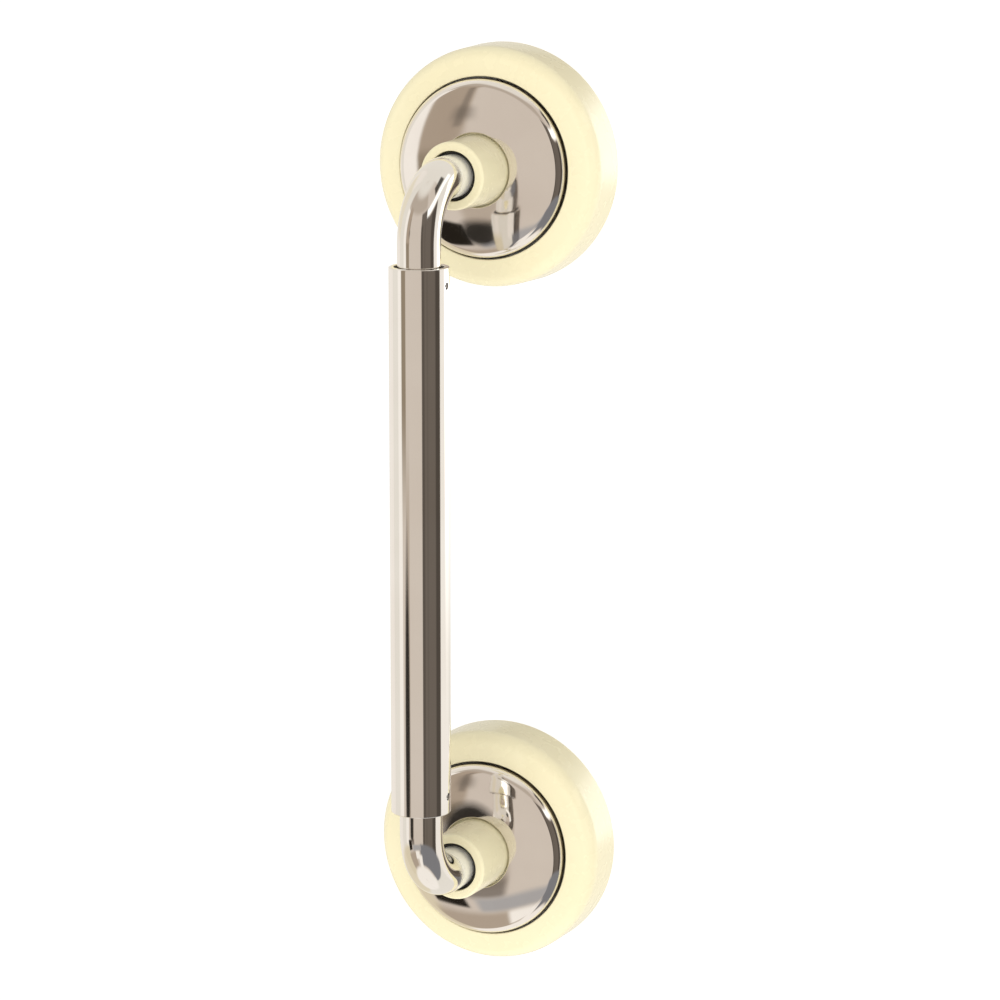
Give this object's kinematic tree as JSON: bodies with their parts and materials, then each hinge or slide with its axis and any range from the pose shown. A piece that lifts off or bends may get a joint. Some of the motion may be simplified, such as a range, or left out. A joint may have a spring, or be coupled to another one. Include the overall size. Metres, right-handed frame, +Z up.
{
  "type": "suction grab bar",
  "caption": "Straight chromed grip on two bent tubes, each ending in a round suction pod that locks to a smooth wall by a quarter turn of its outer shell.",
  "frame": {"origin": "on the wall's surface, midway between the axes of the two pods", "axes": "+Z up along the grip, +Y into the wall, so the bar stands out towards -Y; +X to the right seen from the front"},
  "size_m": [0.103, 0.1029, 0.4],
  "materials": {
    "chrome_tube": "mirror-polished plated tube",
    "chrome_cover": "mirror-bright metallised plastic",
    "ivory_plastic": "glossy moulded ABS",
    "clear_rubber": "satin soft PVC",
    "black_rubber": "matte",
    "white_acetal": "fine moulded",
    "grey_nylon": "fine moulded",
    "plated_steel": "zinc plated"
  },
  "bodies": {
    "bar": {"grip_sleeve": "chrome_tube", "upper_elbow_tube": "chrome_tube", "lower_elbow_tube": "chrome_tube", "upper_face_cover": "chrome_cover", "lower_face_cover": "chrome_cover", "upper_collar": "ivory_plastic", "lower_collar": "ivory_plastic", "upper_suction_pad": "clear_rubber", "lower_suction_pad": "clear_rubber", "upper_collar_seal": "black_rubber", "lower_collar_seal": "black_rubber", "upper_core": "white_acetal", "lower_core": "white_acetal", "upper_mouth_bush": "grey_nylon", "lower_mouth_bush": "grey_nylon", "upper_inner_bush": "grey_nylon", "lower_inner_bush": "grey_nylon", "upper_pad_stud": "plated_steel", "lower_pad_stud": "plated_steel", "upper_tube_plug": "plated_steel", "lower_tube_plug": "plated_steel", "upper_plug_washer": "plated_steel", "lower_plug_washer": "plated_steel", "upper_grub_screw": "plated_steel", "lower_grub_screw": "plated_steel", "upper_collar_screw_1": "plated_steel", "lower_collar_screw_1": "plated_steel", "upper_collar_screw_2": "plated_steel", "lower_collar_screw_2": "plated_steel", "upper_collar_screw_3": "plated_steel", "lower_collar_screw_3": "plated_steel"},
    "upper_press": {"upper_pressure_ring": "white_acetal"},
    "upper_twist": {"upper_shell": "ivory_plastic"},
    "lower_press": {"lower_pressure_ring": "white_acetal"},
    "lower_twist": {"lower_shell": "ivory_plastic"}
  },
  "joints": [
    {"name": "upper_press_slide", "type": "slide", "parent": "bar", "child": "upper_press", "axis": [0, -1, 0], "range_m": [0, 0.003]},
    {"name": "upper_shell_turn", "type": "hinge", "parent": "upper_press", "child": "upper_twist", "pos_m": [0, 0, 0.1485], "axis": [0, -1, 0], "range_deg": [0, 90]},
    {"name": "lower_press_slide", "type": "slide", "parent": "bar", "child": "lower_press", "axis": [0, -1, 0], "range_m": [0, 0.003]},
    {"name": "lower_shell_turn", "type": "hinge", "parent": "lower_press", "child": "lower_twist", "pos_m": [0, 0, -0.1485], "axis": [0, -1, 0], "range_deg": [0, 90]}
  ],
  "couplings": [
    {"joint": "upper_press_slide", "follows": "upper_shell_turn", "m_per_rad": 0.0019099},
    {"joint": "lower_press_slide", "follows": "lower_shell_turn", "m_per_rad": 0.0019099}
  ]
}
